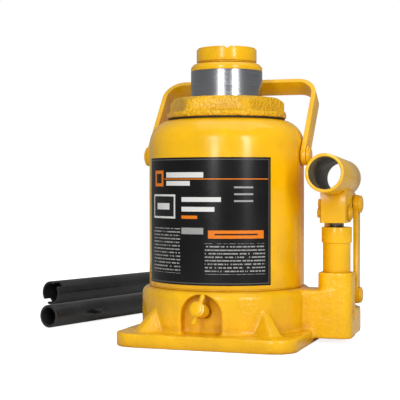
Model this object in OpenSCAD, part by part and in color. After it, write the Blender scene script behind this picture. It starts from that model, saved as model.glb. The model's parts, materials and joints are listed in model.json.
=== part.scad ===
// Low-profile hydraulic bottle jack. Millimetres, +Z up.
// The origin is on the ram's axis at the underside of the foot. The pump stands at +X and the
// release valve faces -Y.

/* [Foot and base casting] */
// Width of the foot plate, along X
foot_w = 117; // [112:1:150]
// How far the foot plate's middle lies towards the pump
foot_shift = 1.5; // [0:0.5:4]
// Depth of the foot plate, along Y
foot_d = 126; // [118:1:156]
// Thickness of the foot plate
foot_t = 8.5; // [7:0.5:12]
// Corner radius of the foot plate
foot_r = 15; // [6:1:20]
// Height of the drum that carries the tank
drum_h = 35; // [33:1:44]
// How far the drum stands out beyond the tank
drum_out = 4.6; // [3:0.2:8]
// Radius of the rounded upper edge of the drum
drum_round = 5; // [2:0.5:6]
// Width of each corner rib where it meets the drum
rib_w = 24; // [14:1:28]
// Height of each corner rib where it meets the drum
rib_h = 26; // [18:1:30]

/* [Tank] */
// Outer diameter of the oil tank
tank_d = 101.6; // [92:0.2:122]
// Wall of the oil tank
tank_wall = 3; // [2:0.2:4]
// Height of the oil tank
tank_h = 108; // [90:1:132]
// Outer radius of the rolled shoulder
shoulder_r = 16; // [10:1:18]
// Thickness of the gasket under the tank
tank_gasket_t = 1; // [0.6:0.1:2]

/* [Top cap] */
// Height of the round flange of the cap
cap_flange_t = 4.5; // [3:0.5:7]
// Height of the hexagon of the cap
cap_hex_h = 9.5; // [7:0.5:14]
// Distance across the flats of the cap
cap_af = 68; // [66:1:74]
// Radius to which the corners of the hexagon are turned down
cap_turned_r = 38; // [36:0.5:41]
// How far the hexagon is turned about the axis, in degrees
cap_turn = 6.8; // [0:0.1:60]
// Depth of the threaded skirt of the cap inside the cylinder
cap_skirt = 12; // [8:1:18]

/* [Cylinder and ram] */
// Diameter of the ram
ram_d = 47; // [40:0.5:50]
// Height of the ram above the cap when it is down
ram_out = 22.4; // [12:0.2:40]
// Height of the chamfered collar at the top of the ram
collar_h = 4.6; // [3:0.2:8]
// Hydraulic stroke of the ram
ram_stroke = 80; // [40:1:84]
// Wall of the pressure cylinder
cylinder_wall = 6; // [4:0.5:7]
// Space between the ram and the pressure cylinder
ram_annulus = 3; // [2:0.5:4]
// Height of the piston at the foot of the ram
piston_h = 12; // [8:1:18]
// Height of the cup seal under the piston
cup_h = 6; // [4:0.5:8]

/* [Extension screw and saddle] */
// Diameter of the extension screw
screw_d = 29; // [22:0.5:32]
// Length of the extension screw
screw_len = 62; // [50:1:80]
// Travel of the extension screw
screw_travel = 35; // [10:1:40]
// Pitch of the extension screw
screw_pitch = 4; // [3:0.5:6]
// Diameter of the saddle
saddle_d = 39.5; // [36:0.5:46]
// Height of the saddle
saddle_h = 10; // [8:0.5:16]
// Depth of the grip grooves across the saddle
groove_depth = 1.6; // [0.8:0.1:2.5]

/* [Pump] */
// Distance from the tank's wall to the pump's axis
pump_off = 22.7; // [20:0.1:36]
// Height of the pump boss
boss_h = 45; // [40:1:56]
// Width of the pump boss, along X
boss_w = 22; // [20:1:30]
// Depth of the pump boss, along Y
boss_d = 22; // [20:1:22]
// Radius of the pump cylinder
pump_r = 8.8; // [8:0.1:9.5]
// Height of the pump cylinder above the boss
pump_h = 28.7; // [24:0.1:34]
// Height of the collar at the top of the pump cylinder
pump_collar_h = 10; // [6:0.5:14]
// Diameter of the plunger
plunger_d = 10; // [8:0.5:11]

/* [Pump lever] */
// Inner diameter of the handle socket
socket_bore = 20; // [18:0.2:24]
// Wall of the handle socket
socket_wall = 2; // [1.5:0.1:3]
// Length of the handle socket
socket_len = 58; // [40:1:66]
// Upward tilt of the handle socket, in degrees
socket_tilt = 3; // [0:0.5:8]
// Width of the bracket under the socket
bracket_w = 15.4; // [14:0.2:18]
// Thickness of the bracket and of the link straps
plate_t = 3; // [2.4:0.1:3.2]
// Height of the plunger pin above the pump cylinder
plunger_pin_up = 8.8; // [8.6:0.1:12]
// Distance from the plunger pin back to the link pin
lever_back = 18; // [17:0.5:22]
// Height of the link pin above the plunger pin
lever_rise = 5.5; // [3:0.5:8]
// Height of the link's lower pin
link_low_z = 29; // [28:1:34]
// Radius of the plunger pin
plunger_pin_r = 3; // [2.5:0.1:3.2]
// Radius of the two link pins
link_pin_r = 3.4; // [3:0.1:3.8]

/* [Release valve] */
// Radius of the arched recess around the valve
recess_r = 13; // [11:0.5:15]
// Height of the recess's arch centre
recess_z = 20; // [18:0.5:21]
// Depth of the recess into the drum
recess_depth = 9; // [6:0.5:12]
// Radius of the valve stem
valve_r = 3.6; // [3:0.1:5]
// How far the stem stands out from the recess floor
valve_out = 16.5; // [14:0.5:20]
// Upward tilt of the valve, in degrees
valve_tilt = 12; // [0:1:20]
// Length of the cross pin
cross_pin_len = 19; // [16:1:22]

/* [Carrying handle] */
// Thickness of the handle's flat bar
bail_t = 3; // [2:0.5:4]
// Width of the handle's flat bar
bail_w = 13; // [10:0.5:16]
// Reach of the bar from its pivots
bail_reach = 62; // [60:1:74]
// Height of the pivots below the top of the tank
bail_down = 23.5; // [20:0.5:30]
// Backward lean of the handle at rest, in degrees
bail_lean = 38; // [34:1:80]

/* [Label] */
// Angle that the label wraps around the tank
label_wrap = 104; // [60:1:120]
// Turn of the label's middle away from the pump, in degrees
label_turn = 2.5; // [0:0.5:20]
// Height of the label
label_h = 79; // [60:1:82]

/* [Pump handle] */
// Outer diameter of the large handle tube
bar_d = 19.5; // [16:0.1:23]
// Outer diameter of the small handle tube
rod_d = 16; // [13:0.1:19]
// Length of each handle tube
bar_len = 250; // [200:5:320]
// Wall of the handle tubes
bar_wall = 1.6; // [1.2:0.1:2]

/* [Hidden] */
$fn = 64;
// Radial clearance of a running fit, and the gap between faces that slide past each other
run = 0.05;
gap = 0.3;
paint = [0.98, 0.72, 0.09];
steel = [0.72, 0.73, 0.75];
rubber = [0.08, 0.08, 0.08];
black = [0.13, 0.13, 0.14];

tank_r = tank_d / 2;
pump_x = tank_r + pump_off;
tank_z = drum_h + tank_gasket_t;
tank_top = drum_h + tank_h;
drum_r = tank_r + drum_out;
cap_r = tank_r - shoulder_r + 4.5;
hex_z = tank_top + cap_flange_t;
cap_top = hex_z + cap_hex_h;
ram_r = ram_d / 2;
ram_top = cap_top + ram_out;
cyl_in_r = ram_r + ram_annulus;
cyl_out_r = cyl_in_r + cylinder_wall;
cyl_floor = 14;
valve_bore = 13;
valve_tip = 8;
cross_pin_r = 1.5;
cross_pin_turn = 74;
ball_r = 2.4;
piston_z = cyl_floor + cup_h + 2;
screw_r = screw_d / 2;
screw_bottom = ram_top - screw_len;
saddle_z = ram_top + 0.6;
top_z = saddle_z + saddle_h;
spigot_r = 7;
spigot_h = 6;

// The ribs end short of the foot's rounded corners
rib_angles = [-128, -47, 47, 132];
rib_reach = min(foot_w, foot_d) / 2 + 9;
boss_low = 3.5;
web_d = 2 * (lever_back - 6.4);
bore_floor = boss_h - 20;
pump_top = boss_h + pump_h;
plunger_r = plunger_d / 2;
pin_z = pump_top + plunger_pin_up;
link_y = lever_back;
link_z = pin_z + lever_rise;
cheek = bracket_w / 2;
strap_in = cheek + gap;
strap_out = strap_in + plate_t;
eye_r = plunger_r + 2;
eye_w = bracket_w - 2 * plate_t - 1.4;
neck_z = pin_z - 9.2;
socket_r = socket_bore / 2 + socket_wall;
socket_z = link_z + socket_r + 6.3;
socket_y = 20 - socket_len / 2;
web_in = -9;

pivot_z = tank_top - bail_down;
bail_in = tank_r + 0.5;
rivet_r = 3;

// Points of an arc about a centre, from one angle to another
function arc(cx, cy, r, a0, a1, n = 10) =
    [for (i = [0 : n]) [cx + r * cos(a0 + (a1 - a0) * i / n), cy + r * sin(a0 + (a1 - a0) * i / n)]];

// Points of a rectangle with round corners, about the origin
function round_box(w, d, r) = concat(
    arc(w / 2 - r, d / 2 - r, r, 0, 90),
    arc(r - w / 2, d / 2 - r, r, 90, 180),
    arc(r - w / 2, r - d / 2, r, 180, 270),
    arc(w / 2 - r, r - d / 2, r, 270, 360)
);

// A cylinder along X that starts at x
module rod_x(x, y, z, r, len) {
    translate([x, y, z])
        rotate([0, 90, 0])
            cylinder(r = r, h = len);
}

// A ring about Z between two radii
module ring(r_in, r_out, z, h) {
    translate([0, 0, z])
        difference() {
            cylinder(r = r_out, h = h);
            translate([0, 0, -1])
                cylinder(r = r_in, h = h + 2);
        }
}

// Puts its children on the release valve's axis, which then runs outwards along Z
module on_valve() {
    translate([0, recess_depth - drum_r, recess_z + 2])
        rotate([90 - valve_tilt, 0, 0])
            children();
}

module drum() {
    rotate_extrude()
        polygon(concat(
            [[0, 0], [drum_r, 0]],
            arc(drum_r - drum_round, drum_h - drum_round, drum_round, 0, 90),
            [[0, drum_h]]
        ));
}

// A tapering rib with a sharp back, from the drum down to one corner of the foot
module corner_rib(angle) {
    low = foot_t - 1;
    rotate([0, 0, angle])
        hull() {
            translate([drum_r - 12, -rib_w / 2, low])
                cube([1, rib_w, 1]);
            translate([rib_reach, -4, low])
                cube([1, 8, 1.4]);
            translate([drum_r - 6, -1.5, rib_h - 1])
                cube([3, 3, 1]);
        }
}

module base() {
    color(paint)
        difference() {
            union() {
                translate([foot_shift, 0, 0])
                    linear_extrude(foot_t)
                        polygon(round_box(foot_w, foot_d, foot_r));
                drum();
                for (angle = rib_angles)
                    corner_rib(angle);
                // Web to the pump, the pump boss and the lug that carries the links
                translate([drum_r - 20, -web_d / 2, boss_low])
                    cube([pump_x - drum_r + 20, web_d, drum_h - boss_low - 1]);
                translate([pump_x, 0, boss_low])
                    linear_extrude(boss_h - boss_low)
                        polygon(round_box(boss_w, boss_d, 7));
                translate([pump_x - 11, 6, boss_low + 1])
                    cube([22, link_y + 2, link_low_z - 7.5 - boss_low - 1]);
                translate([pump_x - cheek + 0.2, 6, boss_low + 1])
                    cube([bracket_w - 0.4, link_y, link_low_z + 6 - boss_low]);
                // Spigot that centres the tank
                translate([0, 0, drum_h - 1])
                    cylinder(r = tank_r - tank_wall - gap, h = 6);
            }
            // Seat of the pressure cylinder
            translate([0, 0, cyl_floor])
                cylinder(r = cyl_out_r + run, h = drum_h + 10);
            // Arched recess and bore of the release valve
            intersection() {
                translate([0, recess_depth - drum_r, 0])
                    rotate([90, 0, 0])
                        linear_extrude(30)
                            polygon(concat([[-recess_r, foot_t], [recess_r, foot_t]],
                                           arc(0, recess_z, recess_r, 0, 180, 24)));
                translate([-foot_w, -foot_d, foot_t])
                    cube([2 * foot_w, foot_d, drum_h]);
            }
            on_valve()
                translate([0, 0, -valve_bore])
                    cylinder(r = valve_r + run, h = valve_bore + 4);
            // Pump bore, link pin hole and the two ball pockets
            translate([pump_x, 0, bore_floor])
                cylinder(r = pump_r, h = boss_h);
            rod_x(pump_x - 20, link_y, link_low_z, link_pin_r + run, 40);
            translate([pump_x, 0, bore_floor - 7])
                cylinder(r = ball_r + 0.2, h = 10);
            rod_x(cyl_out_r + 6, 0, bore_floor - 5, 2, pump_x - cyl_out_r + boss_w / 2 - 7);
            rod_x(pump_x + boss_w / 2 - 4, 0, bore_floor - 5, 4, 10);
        }
}

module tank_gasket() {
    color(rubber)
        ring(tank_r - tank_wall, tank_r - 0.5, drum_h, tank_gasket_t);
}

// Half section of the tank's outer or inner surface
function tank_side(r, low, top, rc) = concat(
    [[0, low], [r, low]],
    arc(r - rc, top - rc, rc, 0, 90, 14),
    [[0, top]]
);

module tank() {
    color(paint)
        difference() {
            rotate_extrude($fn = 128)
                polygon(tank_side(tank_r, tank_z, tank_top, shoulder_r));
            rotate_extrude($fn = 128)
                polygon(tank_side(tank_r - tank_wall, tank_z - 1, tank_top - tank_wall, shoulder_r - tank_wall));
            translate([0, 0, tank_top - 10])
                cylinder(r = cyl_out_r + gap, h = 20);
            rod_x(-tank_d, 0, pivot_z, rivet_r, 2 * tank_d);
            translate([0, 0, pivot_z - 4])
                rotate([-90, 0, 0])
                    cylinder(r = 4, h = tank_d);
        }
}

module label() {
    color(black)
        translate([0, 0, drum_h + 3.5])
            rotate([0, 0, -90 - label_turn - label_wrap / 2])
                rotate_extrude(angle = label_wrap, $fn = 128)
                    translate([tank_r + 0.02, 0])
                        square([0.3, label_h]);
}

module pressure_cylinder() {
    color(steel)
        difference() {
            translate([0, 0, cyl_floor])
                cylinder(r = cyl_out_r, h = tank_top - cyl_floor - gap);
            translate([0, 0, cyl_floor + 2])
                cylinder(r = cyl_in_r, h = tank_top);
        }
}

module top_cap() {
    color(paint)
        difference() {
            union() {
                translate([0, 0, tank_top])
                    cylinder(r = cap_r, h = cap_flange_t);
                intersection() {
                    translate([0, 0, hex_z - 1])
                        rotate([0, 0, cap_turn])
                            cylinder(r = cap_af / sqrt(3), h = cap_hex_h + 1, $fn = 6);
                    rotate_extrude()
                        polygon([[0, hex_z - 1], [cap_turned_r, hex_z - 1], [cap_turned_r, cap_top - 3],
                                 [cap_turned_r - 4, cap_top], [0, cap_top]]);
                }
                translate([0, 0, tank_top - cap_skirt])
                    cylinder(r = cyl_in_r - run, h = cap_skirt + 1);
            }
            translate([0, 0, tank_top - cap_skirt - 1])
                cylinder(r = ram_r + run, h = cap_skirt + 30);
            translate([0, 0, cap_top - 3])
                cylinder(r = ram_r + 2, h = 10);
            // Relief for the gasket under the flange
            ring(cap_r - 3, cap_r + 1, tank_top - 1, 1.8);
        }
}

module cap_gasket() {
    color(rubber)
        ring(cap_r - 3, cap_r - 1, tank_top, 0.8);
}

module ram_wiper() {
    color(rubber)
        ring(ram_r + run, ram_r + 2, cap_top - 3, 2.6);
}

module filler_plug() {
    color(rubber)
        translate([0, tank_r - tank_wall, pivot_z - 4])
            rotate([-90, 0, 0]) {
                cylinder(r = 4 - run, h = tank_wall + 0.5);
                translate([0, 0, tank_wall + 0.5])
                    cylinder(r1 = 6, r2 = 5, h = 2.4);
            }
}

module pump_cylinder() {
    color(paint)
        translate([pump_x, 0, 0])
            difference() {
                union() {
                    translate([0, 0, bore_floor])
                        cylinder(r = pump_r, h = pump_top - bore_floor - 1);
                    translate([0, 0, pump_top - pump_collar_h])
                        cylinder(r = pump_r + 0.8, h = pump_collar_h);
                }
                translate([0, 0, bore_floor + 2])
                    cylinder(r = plunger_r + run, h = pump_top);
                translate([0, 0, bore_floor - 1])
                    cylinder(r = 2, h = 10);
                translate([0, 0, pump_top - 4])
                    cylinder(r = plunger_r + 2, h = 10);
            }
}

module pump_packing() {
    color(rubber)
        translate([pump_x, 0, 0])
            ring(plunger_r + run, plunger_r + 2, pump_top - 4, 3.4);
}

module check_balls() {
    color(steel) {
        translate([pump_x, 0, bore_floor - 3])
            sphere(r = ball_r);
        on_valve()
            translate([0, 0, -valve_tip - ball_r - 0.1])
                sphere(r = ball_r);
    }
}

module oil_gallery_plug() {
    color(paint)
        difference() {
            rod_x(pump_x + boss_w / 2 - 4, 0, bore_floor - 5, 4, 3.6);
            translate([pump_x + boss_w / 2 - 2.4, 0, bore_floor - 5])
                rotate([0, 90, 0])
                    cylinder(r = 2.3, h = 6, $fn = 6);
        }
}

module bail_rivets() {
    color(paint)
        for (s = [-1, 1])
            scale([s, 1, 1]) {
                rod_x(tank_r - tank_wall, 0, pivot_z, rivet_r, tank_wall + bail_t + 0.8);
                rod_x(bail_in + bail_t + 0.2, 0, pivot_z, 6.3, 1.4);
                rod_x(bail_in + bail_t + 1.6, 0, pivot_z, 4.8, 0.8);
            }
}

module ram() {
    color(steel)
        difference() {
            translate([0, 0, piston_z])
                cylinder(r = ram_r, h = ram_top - collar_h - piston_z);
            translate([0, 0, screw_bottom - 2])
                cylinder(r = screw_r + run, h = screw_len + 10);
        }
}

module ram_collar() {
    color(paint)
        difference() {
            translate([0, 0, ram_top - collar_h]) {
                cylinder(r = ram_r, h = collar_h - 2.2);
                translate([0, 0, collar_h - 2.2])
                    cylinder(r1 = ram_r, r2 = ram_r - 1.8, h = 2.2);
            }
            translate([0, 0, ram_top - collar_h - 1])
                cylinder(r = screw_r + run, h = collar_h + 2);
        }
}

module piston() {
    color(steel)
        ring(ram_r + run, cyl_in_r - run, piston_z, piston_h);
}

module cup_seal() {
    color(rubber)
        difference() {
            translate([0, 0, piston_z - cup_h])
                cylinder(r = cyl_in_r - 0.1, h = cup_h);
            translate([0, 0, piston_z - cup_h - 1])
                cylinder(r = cyl_in_r - 4, h = 4);
        }
}

module extension_screw() {
    thread_h = screw_len - 8;
    color(steel)
        difference() {
            union() {
                translate([0, 0, screw_bottom])
                    cylinder(r = screw_r, h = screw_len);
                translate([0, 0, ram_top - 1])
                    cylinder(r = spigot_r, h = spigot_h + 1.6);
            }
            for (z = [screw_pitch : screw_pitch : thread_h])
                translate([0, 0, screw_bottom + z])
                    rotate_extrude()
                        polygon([[screw_r - 1.2, 0], [screw_r + 1, -1.6], [screw_r + 1, 1.6]]);
        }
}

module saddle() {
    color(paint)
        difference() {
            union() {
                translate([0, 0, saddle_z])
                    cylinder(r = saddle_d / 2 - 0.8, h = saddle_h);
                translate([0, 0, saddle_z + 1])
                    cylinder(r = saddle_d / 2, h = saddle_h - 2);
            }
            translate([0, 0, saddle_z - 1])
                cylinder(r = spigot_r + run, h = spigot_h + 1.6);
            for (a = [-72, 18])
                rotate([0, 0, a])
                    translate([-saddle_d, 0, top_z])
                        rotate([90, 0, 90])
                            linear_extrude(2 * saddle_d)
                                polygon([[-2.6, 0.4], [0, -groove_depth], [2.6, 0.4]]);
        }
}

// The cross pin's own cylinder, in the valve's frame
module cross_bar(r, len) {
    translate([0, 0, valve_out - 4])
        rotate([0, 90, cross_pin_turn])
            cylinder(r = r, h = len, center = true);
}

module release_valve() {
    color(paint)
        on_valve()
            difference() {
                union() {
                    translate([0, 0, -valve_tip])
                        cylinder(r = valve_r, h = valve_out + valve_tip);
                    translate([0, 0, 5])
                        cylinder(r = valve_r + 1.1, h = valve_out - 6);
                }
                cross_bar(cross_pin_r + run, 40);
                difference() {
                    translate([0, 0, -3.6])
                        cylinder(r = valve_r + 1, h = 2);
                    translate([0, 0, -4.6])
                        cylinder(r = valve_r - 1.2, h = 4);
                }
            }
}

module valve_seal() {
    color(rubber)
        on_valve()
            ring(valve_r - 1.1, valve_r - 0.1, -3.5, 1.8);
}

module valve_cross_pin() {
    color(paint)
        on_valve()
            cross_bar(cross_pin_r, cross_pin_len);
}

module link_straps() {
    color(paint)
        for (x = [-strap_out, strap_in])
            difference() {
                union() {
                    translate([pump_x + x, link_y - 4.6, link_low_z])
                        cube([plate_t, 9.2, link_z - link_low_z]);
                    rod_x(pump_x + x, link_y, link_low_z, 5.6, plate_t);
                    rod_x(pump_x + x, link_y, link_z, 6, plate_t);
                }
                rod_x(pump_x + x - 1, link_y, link_low_z, link_pin_r + run, plate_t + 2);
                rod_x(pump_x + x - 1, link_y, link_z, link_pin_r + run, plate_t + 2);
            }
}

// A headed pin along X, drilled at its plain end for a split pin
module headed_pin(y, z, r, reach, head_r) {
    difference() {
        union() {
            rod_x(pump_x - reach - 4.5, y, z, r, 2 * reach + 4.6);
            rod_x(pump_x + reach + 0.1, y, z, head_r, 1.4);
            rod_x(pump_x + reach + 1.5, y, z, head_r - 1.2, 0.7);
        }
        translate([pump_x - reach - 2.4, y, z - 10])
            cylinder(r = 1, h = 20);
    }
}

// A split pin with its eye on top, through a headed pin
module split_pin(y, z, r, reach) {
    translate([pump_x - reach - 2.4, y, z]) {
        translate([0, 0, -r - 3.4])
            cylinder(r = 0.9, h = 2 * r + 5.4);
        translate([0, 0, r + 3])
            rotate([0, 90, 0])
                rotate_extrude($fn = 32)
                    translate([1.7, 0])
                        circle(r = 0.8, $fn = 20);
    }
}

module link_pins() {
    color(paint) {
        headed_pin(link_y, link_z, link_pin_r, strap_out, 5.6);
        headed_pin(link_y, link_low_z, link_pin_r, strap_out, 5.2);
    }
}

module link_split_pins() {
    color(paint) {
        split_pin(link_y, link_z, link_pin_r, strap_out);
        split_pin(link_y, link_low_z, link_pin_r, strap_out);
    }
}

// Puts its children on the socket's axis, which then runs towards the mouth along Z
module on_socket() {
    translate([pump_x, socket_y, socket_z])
        rotate([90 - socket_tilt, 0, 0])
            children();
}

module handle_socket() {
    color(paint)
        on_socket()
            difference() {
                cylinder(r = socket_r, h = socket_len, center = true);
                cylinder(r = socket_bore / 2, h = socket_len + 2, center = true);
            }
}

// Side outline of the bracket, as distances back and up from the plunger pin
bracket_side = [
    [web_in - plate_t, 17], [web_in - plate_t, -6], [5, -6],
    [lever_back + 6, lever_rise - 6.5], [lever_back + 7, lever_rise + 6], [lever_back - 4, 17]
];

module socket_bracket() {
    color(paint)
        difference() {
            translate([pump_x - cheek, 0, pin_z])
                rotate([90, 0, 90])
                    linear_extrude(bracket_w)
                        polygon(bracket_side);
            translate([pump_x - cheek + plate_t, web_in, pin_z - 20])
                cube([bracket_w - 2 * plate_t, 60, 60]);
            on_socket()
                cylinder(r = socket_r, h = 3 * socket_len, center = true);
            // The front's lower edge slants up towards the tank
            translate([pump_x, web_in - 20, pin_z - 6])
                rotate([90, -atan2(5, bracket_w), 180])
                    translate([-bracket_w, -20, -24])
                        cube([2 * bracket_w, 22.4, 24]);
            rod_x(pump_x - 20, 0, pin_z, plunger_pin_r + run, 40);
            rod_x(pump_x - 20, link_y, link_z, link_pin_r + run, 40);
        }
}

module plunger_pin() {
    color(paint)
        headed_pin(0, pin_z, plunger_pin_r, cheek, 4.8);
}

module plunger_split_pin() {
    color(paint)
        split_pin(0, pin_z, plunger_pin_r, cheek);
}

// The eye's hole is loose round the pin, and takes up the arc that the lever's pin makes
module plunger() {
    color(steel)
        difference() {
            union() {
                translate([pump_x, 0, bore_floor + 5])
                    cylinder(r = plunger_r, h = neck_z - bore_floor - 5);
                intersection() {
                    translate([pump_x, 0, neck_z - 1])
                        cylinder(r = plunger_r, h = pin_z - neck_z);
                    translate([pump_x - eye_w / 2, -20, 0])
                        cube([eye_w, 40, pin_z]);
                }
                rod_x(pump_x - eye_w / 2, 0, pin_z, eye_r, eye_w);
            }
            rod_x(pump_x - 20, 0, pin_z, plunger_pin_r + 1.4, 40);
            translate([pump_x, 0, 0])
                ring(plunger_r - 1.3, plunger_r + 1, bore_floor + 8, 2.4);
        }
}

module plunger_seal() {
    color(rubber)
        translate([pump_x, 0, 0])
            ring(plunger_r - 1.25, plunger_r, bore_floor + 8.1, 2.2);
}

module bail() {
    out = bail_in + bail_t;
    color(paint)
        translate([0, 0, pivot_z])
            rotate([-bail_lean, 0, 0])
                difference() {
                    union() {
                        translate([0, bail_w / 2, 0])
                            rotate([90, 0, 0])
                                linear_extrude(bail_w)
                                    difference() {
                                        polygon(concat(
                                            [[-out, 0]], [[out, 0]],
                                            arc(out - 14, bail_reach - 14, 14, 0, 90),
                                            arc(14 - out, bail_reach - 14, 14, 90, 180)
                                        ));
                                        polygon(concat(
                                            [[-bail_in, -1]], [[bail_in, -1]],
                                            arc(out - 14, bail_reach - 14, 14 - bail_t, 0, 90),
                                            arc(14 - out, bail_reach - 14, 14 - bail_t, 90, 180)
                                        ));
                                    }
                        for (x = [-out, bail_in])
                            rod_x(x, 0, 0, bail_w / 2, bail_t);
                    }
                    rod_x(-2 * out, 0, 0, rivet_r + run, 4 * out);
                }
}

// Puts a handle tube on the floor: its mouth at [x, y], and its length at an angle from +X
module lay_tube(x, y, angle, d) {
    translate([x, y, d / 2])
        rotate([0, 90, angle])
            children();
}

large_at = [-198, 140, 71];
small_at = [-133, 6, 74];

module large_tube() {
    color(black)
        lay_tube(large_at[0], large_at[1], large_at[2], bar_d)
            difference() {
                cylinder(r = bar_d / 2, h = bar_len);
                translate([0, 0, -1])
                    cylinder(r = bar_d / 2 - bar_wall, h = bar_len + 2);
                rotate([0, 0, 40])
                    translate([-bar_d, -2.4, -1])
                        cube([2 * bar_d, 4.8, 8]);
            }
}

module small_tube() {
    color(black)
        lay_tube(small_at[0], small_at[1], small_at[2], rod_d)
            difference() {
                cylinder(r = rod_d / 2, h = bar_len);
                translate([0, 0, -1])
                    cylinder(r = rod_d / 2 - bar_wall, h = bar_len + 2);
                translate([0, 0, 42])
                    rotate([90, 0, 0])
                        cylinder(r = 2, h = rod_d);
            }
}

module lock_pin() {
    color(black)
        lay_tube(small_at[0], small_at[1], small_at[2], rod_d)
            translate([0, -2, 42])
                rotate([90, 0, 0])
                    cylinder(r = 2 - run, h = rod_d / 2 + 4);
}

base();
tank_gasket();
tank();
label();
pressure_cylinder();
top_cap();
cap_gasket();
ram_wiper();
filler_plug();
pump_cylinder();
pump_packing();
check_balls();
oil_gallery_plug();
bail_rivets();
ram();
ram_collar();
piston();
cup_seal();
extension_screw();
saddle();
release_valve();
valve_cross_pin();
valve_seal();
link_straps();
link_pins();
link_split_pins();
handle_socket();
socket_bracket();
plunger_pin();
plunger_split_pin();
plunger();
plunger_seal();
bail();
large_tube();
small_tube();
lock_pin();
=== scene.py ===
import json
import math

import bpy
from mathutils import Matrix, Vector


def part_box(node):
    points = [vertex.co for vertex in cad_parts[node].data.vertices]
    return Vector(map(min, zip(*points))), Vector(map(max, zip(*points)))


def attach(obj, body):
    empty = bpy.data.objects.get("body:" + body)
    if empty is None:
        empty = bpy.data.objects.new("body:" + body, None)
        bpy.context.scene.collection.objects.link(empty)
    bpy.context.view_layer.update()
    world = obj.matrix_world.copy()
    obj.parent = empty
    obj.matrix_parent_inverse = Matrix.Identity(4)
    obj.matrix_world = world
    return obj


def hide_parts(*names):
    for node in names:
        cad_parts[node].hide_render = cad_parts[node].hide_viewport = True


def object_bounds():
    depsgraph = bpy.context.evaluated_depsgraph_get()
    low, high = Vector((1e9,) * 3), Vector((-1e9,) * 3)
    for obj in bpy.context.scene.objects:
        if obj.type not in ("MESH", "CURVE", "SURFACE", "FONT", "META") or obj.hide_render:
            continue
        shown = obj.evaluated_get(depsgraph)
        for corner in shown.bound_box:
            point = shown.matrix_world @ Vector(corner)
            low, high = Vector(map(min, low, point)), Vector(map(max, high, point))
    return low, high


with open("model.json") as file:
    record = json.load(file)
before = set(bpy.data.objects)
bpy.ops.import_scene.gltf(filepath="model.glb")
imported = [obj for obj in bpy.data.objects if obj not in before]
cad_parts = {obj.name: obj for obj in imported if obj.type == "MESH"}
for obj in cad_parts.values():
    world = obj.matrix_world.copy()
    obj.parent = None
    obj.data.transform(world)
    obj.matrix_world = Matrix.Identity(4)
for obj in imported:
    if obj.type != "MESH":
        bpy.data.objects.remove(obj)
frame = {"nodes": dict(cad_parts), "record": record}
CAD_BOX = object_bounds()
BODY_OF = {node: body for body, nodes in frame["record"]["behaviour"]["bodies"].items() for node in nodes}
TANK_LOW, TANK_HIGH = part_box("tank")
LABEL_LOW, LABEL_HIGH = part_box("label")
TANK_RADIUS = TANK_HIGH[0]
MM = 0.001
# The label's width round the tank and the turn of its middle away from the pump, in degrees
LABEL_WRAP = 104
LABEL_TURN = 2.5

bl_info = {
    "name": "Bottle Jack Finisher",
    "version": (1, 0, 0),
    "blender": (4, 5, 0),
    "location": "View3D > Sidebar > Jack",
    "description": "Dresses a bottle jack in enamel, chrome and rubber, and lights it in a pale studio",
    "category": "Object",
}


# ---------------------------------------------------------------- settings


class JackPaint(bpy.types.PropertyGroup):
    """Colours and surface of the yellow enamel"""

    enamel: bpy.props.FloatVectorProperty(
        name="Enamel", description="Colour of the yellow enamel", subtype="COLOR", size=3,
        min=0.0, max=1.0, default=(0.98, 0.53, 0.004))
    # Painted shade: this darker colour is laid into corners and recesses where less light reaches
    corner_shade_colour: bpy.props.FloatVectorProperty(
        name="Painted corner shade", description="Colour of the painted shade in corners", subtype="COLOR",
        size=3, min=0.0, max=1.0, default=(0.46, 0.18, 0.004))
    gloss: bpy.props.FloatProperty(
        name="Roughness", description="Roughness of the enamel", default=0.2, min=0.0, max=1.0)
    casting_grain: bpy.props.FloatProperty(
        name="Casting relief", description="Height of the uneven skin of the casting", default=0.28 * MM,
        min=0.0, max=MM, unit="LENGTH", precision=5)


class JackEdges(bpy.types.PropertyGroup):
    """Sizes of the softened edges"""

    pressed: bpy.props.FloatProperty(
        name="Plate edge", description="Edge radius of bent plate and bar", default=0.6 * MM,
        min=0.0, max=2 * MM, unit="LENGTH", precision=5)
    turned: bpy.props.FloatProperty(
        name="Turned edge", description="Edge radius of turned pieces", default=0.35 * MM,
        min=0.0, max=2 * MM, unit="LENGTH", precision=5)
    casting_voxel: bpy.props.FloatProperty(
        name="Casting detail", description="Size of the casting's mesh cells", default=0.9 * MM,
        min=0.5 * MM, max=3 * MM, unit="LENGTH", precision=5)


class JackStage(bpy.types.PropertyGroup):
    """Place of the camera and strength of the lights"""

    camera_place: bpy.props.FloatVectorProperty(
        name="Camera", description="Place of the camera", subtype="TRANSLATION", size=3,
        unit="LENGTH", default=(0.211, -0.682, 0.1004))
    camera_turn: bpy.props.FloatProperty(
        name="Camera turn", description="Heading of the camera about the vertical",
        default=math.radians(18.6), subtype="ANGLE")
    lens: bpy.props.FloatProperty(
        name="Lens", description="Focal length in millimetres on a 36 mm sensor", default=97.4, min=20.0)
    box_power: bpy.props.FloatProperty(
        name="Softbox power", description="Power of each softbox in watts", default=4.6, min=0.0)
    sky: bpy.props.FloatProperty(
        name="Room light", description="Strength of the room's light on the jack", default=0.3, min=0.0)


# ---------------------------------------------------------------- selection and modifiers


def select_only(piece):
    bpy.ops.object.select_all(action="DESELECT")
    piece.select_set(True)
    bpy.context.view_layer.objects.active = piece


def edit(piece, *steps):
    """Runs edit-mode steps on the whole of one piece"""
    select_only(piece)
    bpy.ops.object.mode_set(mode="EDIT")
    bpy.ops.mesh.select_all(action="SELECT")
    for step in steps:
        step()
    bpy.ops.object.mode_set(mode="OBJECT")


def apply_modifier(piece, kind, **settings):
    select_only(piece)
    modifier = piece.modifiers.new(kind.title(), kind)
    for name, value in settings.items():
        setattr(modifier, name, value)
    bpy.ops.object.modifier_apply(modifier=modifier.name)


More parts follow.
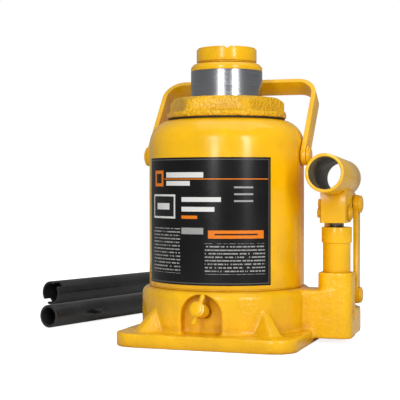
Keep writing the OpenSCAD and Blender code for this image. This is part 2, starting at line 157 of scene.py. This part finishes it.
def smooth(piece):
    """Smooth shading, with sharp edges kept sharp"""
    select_only(piece)
    bpy.ops.object.shade_smooth_by_angle(angle=math.radians(35))


def dress(piece, material):
    piece.data.materials.clear()
    piece.data.materials.append(material)


def copy_of(node, name):
    """A free copy of a node's mesh, with its loose triangles joined"""
    source = frame["nodes"][node]
    piece = source.copy()
    piece.data = source.data.copy()
    piece.name = name
    piece.data.name = name
    piece.parent = None
    piece.matrix_world.identity()
    bpy.context.scene.collection.objects.link(piece)
    edit(piece,
         lambda: bpy.ops.mesh.remove_doubles(threshold=0.004 * MM),
         lambda: bpy.ops.mesh.dissolve_limited(angle_limit=math.radians(0.6)))
    return piece


def take_place(piece, node, material):
    """The piece stands for a node, rides with its body and wears a material"""
    dress(piece, material)
    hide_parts(node)
    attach(piece, BODY_OF[node])


def soften(node, name, edge, material, segments=2, angle=35):
    """A node's shape with its sharp edges rounded"""
    piece = copy_of(node, name)
    apply_modifier(piece, "BEVEL", width=edge, segments=segments, limit_method="ANGLE",
                   angle_limit=math.radians(angle), miter_outer="MITER_ARC", use_clamp_overlap=True)
    smooth(piece)
    take_place(piece, node, material)
    return piece


def middle_of(spots):
    return sum(spots, Vector()) / len(spots)


def end_of(spots, corner, centre):
    """The middle of those spots that lie about as far along a tube as one corner of its end"""
    along = corner - centre
    return middle_of([spot for spot in spots if (spot - corner).dot(along) > -0.06 * along.length_squared])


def line_bore(tube, material):
    """Gives the inside of a straight tube its own dark material as painted shade, told apart by which way its
    walls face
    """
    mesh = tube.data
    mesh.materials.append(material)
    spots = [vertex.co for vertex in mesh.vertices]
    centre = middle_of(spots)
    first = max(spots, key=lambda spot: (spot - centre).length)
    last = max(spots, key=lambda spot: (spot - first).length)
    axis = (end_of(spots, first, centre) - end_of(spots, last, centre)).normalized()
    for face in mesh.polygons:
        outward = face.center - centre
        outward -= outward.dot(axis) * axis
        faces_in = face.normal.dot(outward) < -0.5 * outward.length
        if faces_in and abs(face.normal.dot(axis)) < 0.5:
            face.material_index = 1


def cast(node, name, voxel, relief, material):
    """A node's shape as a casting: round edges and an uneven skin"""
    piece = copy_of(node, name)
    apply_modifier(piece, "REMESH", mode="VOXEL", voxel_size=voxel, adaptivity=0.0)
    apply_modifier(piece, "SMOOTH", factor=0.5, iterations=4)
    clouds = bpy.data.textures.new(name + "_relief", "CLOUDS")
    clouds.noise_scale = 9 * MM
    clouds.noise_depth = 3
    apply_modifier(piece, "DISPLACE", texture=clouds, texture_coords="LOCAL", strength=relief, mid_level=0.62)
    # A casting that stands on the floor stays flat underneath
    for vertex in piece.data.vertices:
        vertex.co.z = max(vertex.co.z, CAD_BOX[0][2])
    select_only(piece)
    bpy.ops.object.shade_smooth()
    take_place(piece, node, material)
    return piece


# ---------------------------------------------------------------- shader groups


def new_group(name, inputs, outputs):
    """An empty shader group with named sockets, given as (name, kind, default)"""
    group = bpy.data.node_groups.new(name, "ShaderNodeTree")
    for label, kind, value in inputs:
        socket = group.interface.new_socket(name=label, in_out="INPUT", socket_type=kind)
        socket.default_value = value
    for label, kind in outputs:
        group.interface.new_socket(name=label, in_out="OUTPUT", socket_type=kind)
    return group, group.nodes.new("NodeGroupInput"), group.nodes.new("NodeGroupOutput")


def math_node(tree, operation, a, b=None):
    """The result of a sum on one or two sockets or numbers"""
    node = tree.nodes.new("ShaderNodeMath")
    node.operation = operation
    for socket, value in zip(node.inputs, (a, b)):
        if isinstance(value, bpy.types.NodeSocket):
            tree.links.new(value, socket)
        elif value is not None:
            socket.default_value = value
    return node.outputs[0]


def mix_colour(tree, factor, a, b):
    """Colour a where the factor is 0 and b where it is 1; each may be a socket or a value"""
    node = tree.nodes.new("ShaderNodeMix")
    node.data_type = "RGBA"
    for socket, value in zip((node.inputs[0], node.inputs[6], node.inputs[7]), (factor, a, b)):
        if isinstance(value, bpy.types.NodeSocket):
            tree.links.new(value, socket)
        elif isinstance(value, (int, float)):
            socket.default_value = value
        else:
            socket.default_value = (*value, 1.0)
    return node.outputs[2]


def spread(tree, value, low, high, to_low=0.0, to_high=1.0):
    """A value's stretch from low to high, mapped to another stretch and clamped there"""
    node = tree.nodes.new("ShaderNodeMapRange")
    tree.links.new(value, node.inputs["Value"])
    for label, number in (("From Min", low), ("From Max", high), ("To Min", to_low), ("To Max", to_high)):
        node.inputs[label].default_value = number
    return node.outputs["Result"]


def noise(tree, scale, detail=3.0, vector=None):
    """A noise field over the object's own coordinates, unless another vector is given"""
    node = tree.nodes.new("ShaderNodeTexNoise")
    node.inputs["Detail"].default_value = detail
    if isinstance(scale, bpy.types.NodeSocket):
        tree.links.new(scale, node.inputs["Scale"])
    else:
        node.inputs["Scale"].default_value = scale
    if vector is None:
        vector = tree.nodes.new("ShaderNodeTexCoord").outputs["Object"]
    tree.links.new(vector, node.inputs["Vector"])
    return node.outputs["Fac"]


def make_groups():
    """Shared effects: tone variation, painted shade in corners, grain, dust, and edges lightened partly by
    wear and partly by a painted highlight
    """
    tree, into, out = new_group(
        "Tone Variation", [("Scale", "NodeSocketFloat", 30.0), ("Amount", "NodeSocketFloat", 0.1)],
        [("Value", "NodeSocketFloat")])
    field = noise(tree, into.outputs["Scale"], 4.0)
    centred = math_node(tree, "SUBTRACT", field, 0.5)
    shifted = math_node(tree, "ADD", math_node(tree, "MULTIPLY", centred, into.outputs["Amount"]), 0.5)
    tree.links.new(shifted, out.inputs["Value"])

    # This group paints shade: ambient occlusion darkens corners, creases and recesses
    tree, into, out = new_group(
        "Corner Shade", [("Reach", "NodeSocketFloat", 6 * MM), ("Breakup", "NodeSocketFloat", 0.4)],
        [("Mask", "NodeSocketFloat")])
    shade = tree.nodes.new("ShaderNodeAmbientOcclusion")
    shade.samples = 6
    tree.links.new(into.outputs["Reach"], shade.inputs["Distance"])
    deep = spread(tree, shade.outputs["AO"], 0.35, 0.95, 1.0, 0.0)
    broken = math_node(tree, "MULTIPLY", noise(tree, 160.0, 4.0), into.outputs["Breakup"])
    kept = math_node(tree, "SUBTRACT", 1.0, broken)
    tree.links.new(math_node(tree, "MULTIPLY", deep, kept), out.inputs["Mask"])

    tree, into, out = new_group(
        "Grain", [("Scale", "NodeSocketFloat", 900.0), ("Coarse Scale", "NodeSocketFloat", 120.0),
                  ("Coarse Share", "NodeSocketFloat", 0.5)],
        [("Height", "NodeSocketFloat")])
    fine = noise(tree, into.outputs["Scale"], 2.0)
    coarse = noise(tree, into.outputs["Coarse Scale"], 3.0)
    weighed = math_node(tree, "MULTIPLY", coarse, into.outputs["Coarse Share"])
    both = math_node(tree, "ADD", math_node(tree, "MULTIPLY", fine, 0.3), weighed)
    tree.links.new(both, out.inputs["Height"])

    # This group lightens sharp edges found by the bevel normal: partly wear, partly a painted highlight
    tree, into, out = new_group(
        "Edge Wear And Sheen", [("Radius", "NodeSocketFloat", 0.6 * MM), ("Amount", "NodeSocketFloat", 0.5)],
        [("Mask", "NodeSocketFloat")])
    bevel = tree.nodes.new("ShaderNodeBevel")
    bevel.samples = 4
    tree.links.new(into.outputs["Radius"], bevel.inputs["Radius"])
    geometry = tree.nodes.new("ShaderNodeNewGeometry")
    turn = tree.nodes.new("ShaderNodeVectorMath")
    turn.operation = "DOT_PRODUCT"
    tree.links.new(bevel.outputs["Normal"], turn.inputs[0])
    tree.links.new(geometry.outputs["Normal"], turn.inputs[1])
    edge = spread(tree, turn.outputs["Value"], 0.97, 0.80)
    patchy = spread(tree, noise(tree, 110.0, 5.0), 0.45, 0.62)
    edge_lightening = math_node(tree, "MULTIPLY", math_node(tree, "MULTIPLY", edge, patchy), into.outputs["Amount"])
    tree.links.new(edge_lightening, out.inputs["Mask"])

    tree, into, out = new_group(
        "Dust", [("Amount", "NodeSocketFloat", 0.1)], [("Mask", "NodeSocketFloat")])
    geometry = tree.nodes.new("ShaderNodeNewGeometry")
    parts = tree.nodes.new("ShaderNodeSeparateXYZ")
    tree.links.new(geometry.outputs["Normal"], parts.inputs[0])
    up = spread(tree, parts.outputs["Z"], 0.4, 1.0)
    flecks = spread(tree, noise(tree, 420.0, 6.0), 0.5, 0.75)
    lying = math_node(tree, "MULTIPLY", math_node(tree, "MULTIPLY", up, flecks), into.outputs["Amount"])
    tree.links.new(lying, out.inputs["Mask"])


# ---------------------------------------------------------------- materials


def add_group(tree, name, output, **values):
    """Places a shared group with this material's own values and returns one of its outputs"""
    node = tree.nodes.new("ShaderNodeGroup")
    node.node_tree = bpy.data.node_groups[name]
    for label, value in values.items():
        node.inputs[label.replace("_", " ")].default_value = value
    return node.outputs[output]


def new_material(name, roughness, metallic=0.0, coat=0.0):
    material = bpy.data.materials.new(name)
    material.use_nodes = True
    tree = material.node_tree
    shader = tree.nodes["Principled BSDF"]
    shader.inputs["Roughness"].default_value = roughness
    shader.inputs["Metallic"].default_value = metallic
    shader.inputs["Coat Weight"].default_value = coat
    shader.inputs["Coat Roughness"].default_value = 0.08
    return material, tree, shader


def bump(tree, shader, height, distance, strength=1.0):
    node = tree.nodes.new("ShaderNodeBump")
    node.inputs["Strength"].default_value = strength
    node.inputs["Distance"].default_value = distance
    tree.links.new(height, node.inputs["Height"])
    tree.links.new(node.outputs["Normal"], shader.inputs["Normal"])


def make_enamel(name, coarse_scale, coarse_share, height, corner_shade_share=0.55):
    """Glossy yellow enamel over a skin with bumps of a given height, darker in its corners as painted shade
    """
    paint = bpy.context.scene.jack_paint
    material, tree, shader = new_material(name, paint.gloss, coat=0.12)
    shader.inputs["Specular IOR Level"].default_value = 0.36
    enamel, corner_shade_colour = tuple(paint.enamel), tuple(paint.corner_shade_colour)
    deep = tuple(0.82 * c for c in enamel)
    tone = add_group(tree, "Tone Variation", "Value", Scale=34.0, Amount=1.1)
    colour = mix_colour(tree, spread(tree, tone, 0.35, 0.7), enamel, deep)
    # Painted shade: corners found by ambient occlusion take the darker shade colour
    corners = add_group(tree, "Corner Shade", "Mask", Reach=7 * MM, Breakup=0.35)
    colour = mix_colour(tree, math_node(tree, "MULTIPLY", corners, corner_shade_share), colour, corner_shade_colour)
    # The edges turn a brighter yellow: a painted highlight along the edges
    edge_rub_and_sheen = add_group(tree, "Edge Wear And Sheen", "Mask", Radius=0.7 * MM, Amount=0.35)
    colour = mix_colour(tree, edge_rub_and_sheen, colour, (1.0, 0.66, 0.02))
    dust = add_group(tree, "Dust", "Mask", Amount=0.03)
    colour = mix_colour(tree, dust, colour, (0.62, 0.52, 0.38))
    tree.links.new(colour, shader.inputs["Base Color"])
    streaks = noise(tree, 55.0, 4.0)
    tree.links.new(spread(tree, streaks, 0.3, 0.75, paint.gloss - 0.05, paint.gloss + 0.13),
                   shader.inputs["Roughness"])
    grain = add_group(tree, "Grain", "Height", Scale=900.0, Coarse_Scale=coarse_scale,
                      Coarse_Share=coarse_share)
    bump(tree, shader, grain, height)
    return material


def make_steel(name, colour, roughness, ring_scale):
    """Turned steel with fine rings round the vertical axis"""
    material, tree, shader = new_material(name, roughness, metallic=1.0)
    shader.inputs["Anisotropic"].default_value = 0.6
    place = tree.nodes.new("ShaderNodeTexCoord")
    squash = tree.nodes.new("ShaderNodeMapping")
    squash.inputs["Scale"].default_value = (1.0, 1.0, ring_scale)
    tree.links.new(place.outputs["Object"], squash.inputs["Vector"])
    rings = noise(tree, 60.0, 5.0, squash.outputs["Vector"])
    darker = tuple(0.72 * c for c in colour)
    tree.links.new(mix_colour(tree, spread(tree, rings, 0.3, 0.7), colour, darker),
                   shader.inputs["Base Color"])
    tree.links.new(spread(tree, rings, 0.3, 0.7, roughness * 0.75, roughness * 1.35),
                   shader.inputs["Roughness"])
    bump(tree, shader, rings, 0.01 * MM, 0.4)
    return material


def make_dark(name, colour, roughness, scale, edge_rub_and_sheen_amount=0.0, coat=0.0):
    """Black lacquer or rubber with a faint mottle"""
    material, tree, shader = new_material(name, roughness, coat=coat)
    tone = add_group(tree, "Tone Variation", "Value", Scale=scale, Amount=1.2)
    lighter = tuple(min(1.0, 1.7 * c + 0.004) for c in colour)
    base = mix_colour(tree, spread(tree, tone, 0.3, 0.7), colour, lighter)
    # Grey along the edges: partly wear, partly a painted highlight
    if edge_rub_and_sheen_amount:
        edge_rub_and_sheen = add_group(tree, "Edge Wear And Sheen", "Mask", Radius=0.5 * MM, Amount=edge_rub_and_sheen_amount)
        base = mix_colour(tree, edge_rub_and_sheen, base, (0.22, 0.22, 0.23))
    dust = add_group(tree, "Dust", "Mask", Amount=0.1)
    base = mix_colour(tree, dust, base, (0.16, 0.15, 0.14))
    tree.links.new(base, shader.inputs["Base Color"])
    tree.links.new(spread(tree, tone, 0.3, 0.7, roughness * 0.8, roughness * 1.25),
                   shader.inputs["Roughness"])
    bump(tree, shader, add_group(tree, "Grain", "Height", Scale=1400.0, Coarse_Scale=240.0, Coarse_Share=0.4),
         0.05 * MM)
    return material


def band(tree, value, low, high):
    """1 where a value lies between two limits"""
    above = math_node(tree, "GREATER_THAN", value, low)
    return math_node(tree, "MULTIPLY", above, math_node(tree, "LESS_THAN", value, high))


def box_mask(tree, across, up, box):
    """1 inside a box on the label, given in millimetres as left, right, low and high"""
    left, right, low, high = box
    return math_node(tree, "MULTIPLY", band(tree, across, left, right), band(tree, up, low, high))


def make_label():
    """A dark film with plain generic bars, boxes and dashes, and no lettering"""
    material, tree, shader = new_material("printed_film", 0.3)
    shader.inputs["Specular IOR Level"].default_value = 0.25
    place = tree.nodes.new("ShaderNodeTexCoord")
    parts = tree.nodes.new("ShaderNodeSeparateXYZ")
    tree.links.new(place.outputs["Object"], parts.inputs[0])
    front = math_node(tree, "MULTIPLY", parts.outputs["Y"], -1.0)
    angle = math_node(tree, "ARCTAN2", parts.outputs["X"], front)
    turned = math_node(tree, "ADD", angle, math.radians(LABEL_TURN))
    across = math_node(tree, "MULTIPLY", turned, TANK_RADIUS / MM)
    up = math_node(tree, "MULTIPLY", math_node(tree, "SUBTRACT", parts.outputs["Z"], LABEL_LOW[2]), 1.0 / MM)
    height = (LABEL_HIGH[2] - LABEL_LOW[2]) / MM
    half = math.radians(LABEL_WRAP / 2) * TANK_RADIUS / MM
    colour = mix_colour(tree, spread(tree, noise(tree, 90.0, 4.0), 0.3, 0.7), (0.003, 0.003, 0.003),
                        (0.007, 0.006, 0.007))
    white, orange, grey = (0.72, 0.72, 0.70), (0.80, 0.20, 0.01), (0.34, 0.34, 0.33)

    def paint(base, box, ink):
        return mix_colour(tree, box_mask(tree, across, up, box), base, ink)

    colour = paint(colour, (-25, 3, height - 12.5, height - 9.2), white)
    colour = paint(colour, (-25, -6, height - 17.5, height - 14.6), white)
    colour = paint(colour, (-27, half - 2, height - 13.7, height - 13.1), orange)
    colour = paint(colour, (-38, -28, height - 18, height - 8), orange)
    colour = paint(colour, (-36, -30, height - 16, height - 10), (0.01, 0.01, 0.01))
    colour = paint(colour, (-40, -17, height - 38, height - 23), white)
    colour = paint(colour, (-38.8, -18.2, height - 36.8, height - 24.2), (0.012, 0.012, 0.012))
    colour = paint(colour, (-35, -22, height - 32.5, height - 28.5), white)
    colour = paint(colour, (-12, 14, height - 27.5, height - 24.6), white)
    colour = paint(colour, (-12, 10, height - 33.5, height - 30.6), white)
    colour = paint(colour, (-12, -1, height - 38, height - 36), orange)
    colour = paint(colour, (6, 41, height - 50, height - 45), orange)
    colour = paint(colour, (10, 37, height - 48, height - 47), (0.02, 0.01, 0.01))
    colour = paint(colour, (-12, 3, height - 47.5, height - 43.5), grey)
    for line in range(3):
        top = height - 18 - 4.2 * line
        colour = paint(colour, (22, 34, top - 1.1, top), grey)
    # Rows of short dashes fill the space where small print would be
    pitch = 2.15
    row = math_node(tree, "MODULO", up, pitch)
    cells = tree.nodes.new("ShaderNodeCombineXYZ")
    tree.links.new(math_node(tree, "MULTIPLY", across, 1.1), cells.inputs["X"])
    tree.links.new(math_node(tree, "MULTIPLY", math_node(tree, "FLOOR", math_node(tree, "DIVIDE", up, pitch)),
                             3.7), cells.inputs["Y"])
    dashes = math_node(tree, "GREATER_THAN", noise(tree, 1.0, 1.0, cells.outputs[0]), 0.44)
    rows = math_node(tree, "MULTIPLY", math_node(tree, "LESS_THAN", row, 0.8), dashes)
    left = box_mask(tree, across, up, (-40, -13, 7, height - 44))
    right = box_mask(tree, across, up, (4, 42, 7, height - 53))
    print_area = math_node(tree, "MAXIMUM", left, right)
    colour = mix_colour(tree, math_node(tree, "MULTIPLY", rows, print_area), colour, grey)
    inside = box_mask(tree, across, up, (1 - half, half - 1, 1, height - 1))
    frame_line = box_mask(tree, across, up, (1.6 - half, half - 1.6, 1.6, height - 1.6))
    rim = math_node(tree, "SUBTRACT", inside, frame_line)
    colour = mix_colour(tree, math_node(tree, "MULTIPLY", rim, 0.25), colour, grey)
    tree.links.new(colour, shader.inputs["Base Color"])
    tree.links.new(spread(tree, noise(tree, 40.0, 4.0), 0.3, 0.7, 0.2, 0.33), shader.inputs["Roughness"])
    bump(tree, shader, add_group(tree, "Grain", "Height", Scale=1600.0, Coarse_Scale=60.0, Coarse_Share=0.6),
         0.03 * MM)
    return material


def finish_named(name):
    """One of the materials that the finishes operator has made"""
    return bpy.data.materials[name]


# ---------------------------------------------------------------- operators


class JACK_OT_finishes(bpy.types.Operator):
    """Make the shared shader groups and every material"""

    bl_idname = "jack.finishes"
    bl_label = "Finishes"

    def execute(self, context):
        make_groups()
        make_enamel("pressed_enamel", 70.0, 0.5, 0.05 * MM)
        make_enamel("cast_enamel", 230.0, 1.4, 0.45 * MM, corner_shade_share=0.85)
        make_enamel("hammered_enamel", 560.0, 2.4, 1.0 * MM, corner_shade_share=0.6)
        make_steel("ground_chrome", (0.40, 0.41, 0.43), 0.2, 30.0)
        make_steel("turned_steel", (0.55, 0.55, 0.56), 0.32, 40.0)
        make_steel("oiled_steel", (0.16, 0.15, 0.13), 0.3, 40.0)
        make_dark("moulded_rubber", (0.012, 0.012, 0.012), 0.6, 80.0)
        make_dark("black_lacquer", (0.007, 0.007, 0.008), 0.26, 45.0, edge_rub_and_sheen_amount=0.35, coat=0.15)
        # These two dark bore colours are painted shade inside the handle tubes and the handle socket
        make_dark("tube_bore_shade", (0.004, 0.004, 0.004), 0.6, 60.0)
        make_dark("socket_bore_shade", (0.16, 0.125, 0.07), 0.6, 70.0)
        make_label()
        return {"FINISHED"}


class JACK_OT_stage(bpy.types.Operator):
    """Place the camera, the pale floor and the soft lights"""

    bl_idname = "jack.stage"
    bl_label = "Stage"

    def execute(self, context):
        stage = context.scene.jack_stage
        bpy.ops.object.select_all(action="DESELECT")
        bpy.ops.object.camera_add(location=stage.camera_place,
                                  rotation=(math.radians(90), 0, stage.camera_turn))
        camera = context.object
        camera.data.lens = stage.lens
        camera.data.sensor_width = 36.0
        camera.data.shift_y = -0.0375
        camera.data.clip_start = 0.01
        context.scene.camera = camera

        bpy.ops.mesh.primitive_plane_add(size=12, location=(0, 0, -0.0002))
        floor = context.object
        floor.name = "studio_floor"
        # The floor glows a little to the camera alone, so that it runs into the white room
        material, tree, shader = new_material("pale_floor", 0.8)
        shader.inputs["Base Color"].default_value = (0.7, 0.7, 0.7, 1)
        shader.inputs["Specular IOR Level"].default_value = 0.0
        shader.inputs["Emission Color"].default_value = (1, 1, 1, 1)
        rays = tree.nodes.new("ShaderNodeLightPath")
        tree.links.new(math_node(tree, "MULTIPLY", rays.outputs["Is Camera Ray"], 0.85),
                       shader.inputs["Emission Strength"])
        dress(floor, material)

        # Two tall softboxes face a point on the ram's axis, and a wide one hangs overhead
        aim_height, distance, climb = 0.12, 1.1, math.radians(17)
        for heading in (-91, -44):
            angle = math.radians(heading)
            away = distance * math.cos(climb)
            place = (away * math.cos(angle), away * math.sin(angle), aim_height + distance * math.sin(climb))
            bpy.ops.object.light_add(type="AREA", location=place,
                                     rotation=(math.radians(90) - climb, 0, angle + math.radians(90)))
            light = context.object
            light.data.shape = "RECTANGLE"
            light.data.size = 0.2
            light.data.size_y = 0.62
            light.data.energy = stage.box_power
        bpy.ops.object.light_add(type="AREA", location=(0.1, 0.1, 1.6), rotation=(0, 0, 0))
        overhead = context.object
        overhead.data.size = 1.6
        overhead.data.energy = 2.0 * stage.box_power

        world = bpy.data.worlds.new("studio")
        world.use_nodes = True
        tree = world.node_tree
        background = tree.nodes["Background"]
        background.inputs["Color"].default_value = (1, 1, 1, 1)
        # The camera sees plain white, while the jack is lit by a dimmer room
        rays = tree.nodes.new("ShaderNodeLightPath")
        tree.links.new(spread(tree, rays.outputs["Is Camera Ray"], 0.0, 1.0, stage.sky, 1.0),
                       background.inputs["Strength"])
        context.scene.world = world
        context.scene.view_settings.view_transform = "Standard"
        return {"FINISHED"}


class JACK_OT_base(bpy.types.Operator):
    """Turn the base into a rough painted casting"""

    bl_idname = "jack.base"
    bl_label = "Base casting"

    def execute(self, context):
        edges, paint = context.scene.jack_edges, context.scene.jack_paint
        cast("base", "base_casting", edges.casting_voxel, paint.casting_grain, finish_named("cast_enamel"))
        return {"FINISHED"}


class JACK_OT_tank(bpy.types.Operator):
    """Finish the tank, its label, rivets, gasket and filler plug"""

    bl_idname = "jack.tank"
    bl_label = "Tank"

    def execute(self, context):
        edges = context.scene.jack_edges
        soften("tank", "tank_shell", edges.turned, finish_named("pressed_enamel"))
        soften("label", "tank_label", 0.08 * MM, finish_named("printed_film"), segments=1)
        soften("bail_rivets", "bail_rivet_heads", edges.turned, finish_named("pressed_enamel"), segments=3)
        soften("tank_gasket", "tank_gasket_painted_over", 0.2 * MM, finish_named("pressed_enamel"))
        soften("filler_plug", "filler_plug_rubber", 0.5 * MM, finish_named("moulded_rubber"), segments=3)
        return {"FINISHED"}


class JACK_OT_cap(bpy.types.Operator):
    """Finish the hexagonal cap, its gasket and the ram's wiper"""

    bl_idname = "jack.cap"
    bl_label = "Top cap"

    def execute(self, context):
        cast("top_cap", "hexagon_cap", 0.8 * MM, 0.25 * MM, finish_named("hammered_enamel"))
        soften("cap_gasket", "cap_gasket_ring", 0.15 * MM, finish_named("moulded_rubber"))
        soften("ram_wiper", "ram_wiper_ring", 0.3 * MM, finish_named("moulded_rubber"))
        return {"FINISHED"}


class JACK_OT_ram(bpy.types.Operator):
    """Finish the ram, its collar, the extension screw, the saddle and the pieces inside"""

    bl_idname = "jack.ram"
    bl_label = "Ram and saddle"

    def execute(self, context):
        edges = context.scene.jack_edges
        soften("ram", "chromed_ram", 0.2 * MM, finish_named("ground_chrome"))
        soften("ram_collar", "ram_collar_ring", edges.turned, finish_named("pressed_enamel"), segments=3)
        soften("saddle", "grooved_saddle", 0.7 * MM, finish_named("pressed_enamel"), segments=3)
        soften("extension_screw", "threaded_screw", 0.12 * MM, finish_named("turned_steel"), segments=1)
        soften("piston", "piston_head", edges.turned, finish_named("turned_steel"))
        soften("pressure_cylinder", "pressure_cylinder_tube", edges.turned, finish_named("turned_steel"))
        soften("cup_seal", "cup_seal_ring", 0.4 * MM, finish_named("moulded_rubber"))
        return {"FINISHED"}


class JACK_OT_pump(bpy.types.Operator):
    """Finish the pump cylinder, plunger, packing, balls and plug"""

    bl_idname = "jack.pump"
    bl_label = "Pump"

    def execute(self, context):
        edges = context.scene.jack_edges
        soften("pump_cylinder", "pump_cylinder_body", 0.8 * MM, finish_named("pressed_enamel"), segments=3)
        soften("plunger", "pump_plunger", edges.turned, finish_named("oiled_steel"))
        soften("pump_packing", "pump_packing_ring", 0.3 * MM, finish_named("moulded_rubber"))
        soften("plunger_seal", "plunger_seal_ring", 0.3 * MM, finish_named("moulded_rubber"))
        soften("check_balls", "check_valve_balls", 0.01 * MM, finish_named("turned_steel"), angle=60)
        soften("oil_gallery_plug", "oil_gallery_plug_head", 0.3 * MM, finish_named("pressed_enamel"))
        return {"FINISHED"}


class JACK_OT_lever(bpy.types.Operator):
    """Finish the handle socket, its bracket, the links and their pins"""

    bl_idname = "jack.lever"
    bl_label = "Pump lever"

    def execute(self, context):
        edges = context.scene.jack_edges
        plate, turned = edges.pressed, edges.turned
        enamel = finish_named("pressed_enamel")
        socket = soften("handle_socket", "handle_socket_tube", 0.5 * MM, enamel, segments=3)
        # The socket's inside gets painted shade
        line_bore(socket, finish_named("socket_bore_shade"))
        soften("socket_bracket", "folded_bracket", plate, enamel, segments=3)
        soften("link_straps", "link_strap_pair", plate, enamel, segments=3)
        for node in ("link_pins", "plunger_pin"):
            soften(node, node + "_headed", turned, enamel, segments=3)
        for node in ("link_split_pins", "plunger_split_pin"):
            soften(node, node + "_wire", 0.15 * MM, enamel)
        return {"FINISHED"}


class JACK_OT_valve(bpy.types.Operator):
    """Finish the release valve, its cross pin and seal"""

    bl_idname = "jack.valve"
    bl_label = "Release valve"

    def execute(self, context):
        enamel = finish_named("pressed_enamel")
        soften("release_valve", "release_valve_stem", 0.5 * MM, enamel, segments=3)
        soften("valve_cross_pin", "valve_cross_bar", 0.5 * MM, enamel, segments=3)
        soften("valve_seal", "valve_seal_ring", 0.2 * MM, finish_named("moulded_rubber"))
        return {"FINISHED"}


class JACK_OT_bail(bpy.types.Operator):
    """Finish the carrying handle"""

    bl_idname = "jack.bail"
    bl_label = "Carrying handle"

    def execute(self, context):
        soften("bail", "carrying_handle", context.scene.jack_edges.pressed, finish_named("pressed_enamel"),
               segments=3)
        return {"FINISHED"}


class JACK_OT_tubes(bpy.types.Operator):
    """Finish the two handle tubes and the lock pin"""

    bl_idname = "jack.tubes"
    bl_label = "Handle tubes"

    def execute(self, context):
        lacquer = finish_named("black_lacquer")
        soften("lock_pin", "lock_pin_lacquered", 0.4 * MM, lacquer, segments=3)
        for node in ("large_tube", "small_tube"):
            tube = soften(node, node + "_lacquered", 0.4 * MM, lacquer, segments=3)
            # The tube's inside gets painted shade
            line_bore(tube, finish_named("tube_bore_shade"))
        return {"FINISHED"}


OPERATORS = (JACK_OT_stage, JACK_OT_finishes, JACK_OT_base, JACK_OT_tank, JACK_OT_cap, JACK_OT_ram,
             JACK_OT_pump, JACK_OT_lever, JACK_OT_valve, JACK_OT_bail, JACK_OT_tubes)


class JACK_PT_panel(bpy.types.Panel):
    """Lists the settings and the steps"""

    bl_idname = "JACK_PT_panel"
    bl_label = "Bottle Jack"
    bl_space_type = "VIEW_3D"
    bl_region_type = "UI"
    bl_category = "Jack"

    def draw(self, context):
        for settings in (context.scene.jack_paint, context.scene.jack_edges, context.scene.jack_stage):
            box = self.layout.box()
            for name in settings.__annotations__:
                box.prop(settings, name)
        for operator in OPERATORS:
            self.layout.operator(operator.bl_idname)


SETTINGS = {"jack_paint": JackPaint, "jack_edges": JackEdges, "jack_stage": JackStage}


def register():
    for cls in (*SETTINGS.values(), *OPERATORS, JACK_PT_panel):
        bpy.utils.register_class(cls)
    for name, cls in SETTINGS.items():
        setattr(bpy.types.Scene, name, bpy.props.PointerProperty(type=cls))


def unregister():
    for name in SETTINGS:
        delattr(bpy.types.Scene, name)
    for cls in (JACK_PT_panel, *reversed(OPERATORS), *SETTINGS.values()):
        bpy.utils.unregister_class(cls)


def main():
    register()
    for operator in OPERATORS:
        group, step = operator.bl_idname.split(".")
        getattr(getattr(bpy.ops, group), step)()


if __name__ == "__main__":
    main()
